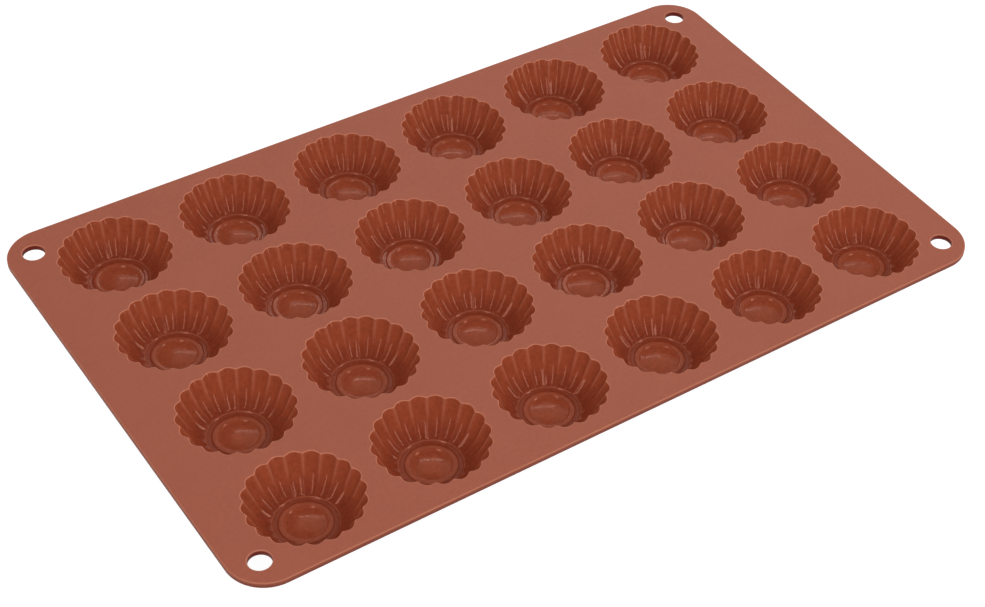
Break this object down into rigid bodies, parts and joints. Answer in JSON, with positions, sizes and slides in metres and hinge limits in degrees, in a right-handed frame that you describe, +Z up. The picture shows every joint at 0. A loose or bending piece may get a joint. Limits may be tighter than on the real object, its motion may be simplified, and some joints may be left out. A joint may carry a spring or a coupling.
{
  "type": "silicone mini muffin mould",
  "caption": "Flat silicone baking sheet with rounded corners, rows of shallow fluted cups with flat soles, and a hanging hole in each corner.",
  "frame": {"origin": "on the surface that the mould stands on, under the middle of the sheet", "axes": "+X along the long side of the sheet, +Y along its short side, +Z up, the way the cups open"},
  "size_m": [0.351, 0.2186, 0.016],
  "materials": {
    "silicone": "satin"
  },
  "bodies": {
    "root": {"top_sheet": "silicone", "cup_1_1": "silicone", "cup_1_2": "silicone", "cup_1_3": "silicone", "cup_1_4": "silicone", "cup_1_5": "silicone", "cup_1_6": "silicone", "cup_2_1": "silicone", "cup_2_2": "silicone", "cup_2_3": "silicone", "cup_2_4": "silicone", "cup_2_5": "silicone", "cup_2_6": "silicone", "cup_3_1": "silicone", "cup_3_2": "silicone", "cup_3_3": "silicone", "cup_3_4": "silicone", "cup_3_5": "silicone", "cup_3_6": "silicone", "cup_4_1": "silicone", "cup_4_2": "silicone", "cup_4_3": "silicone", "cup_4_4": "silicone", "cup_4_5": "silicone", "cup_4_6": "silicone"}
  },
  "joints": []
}
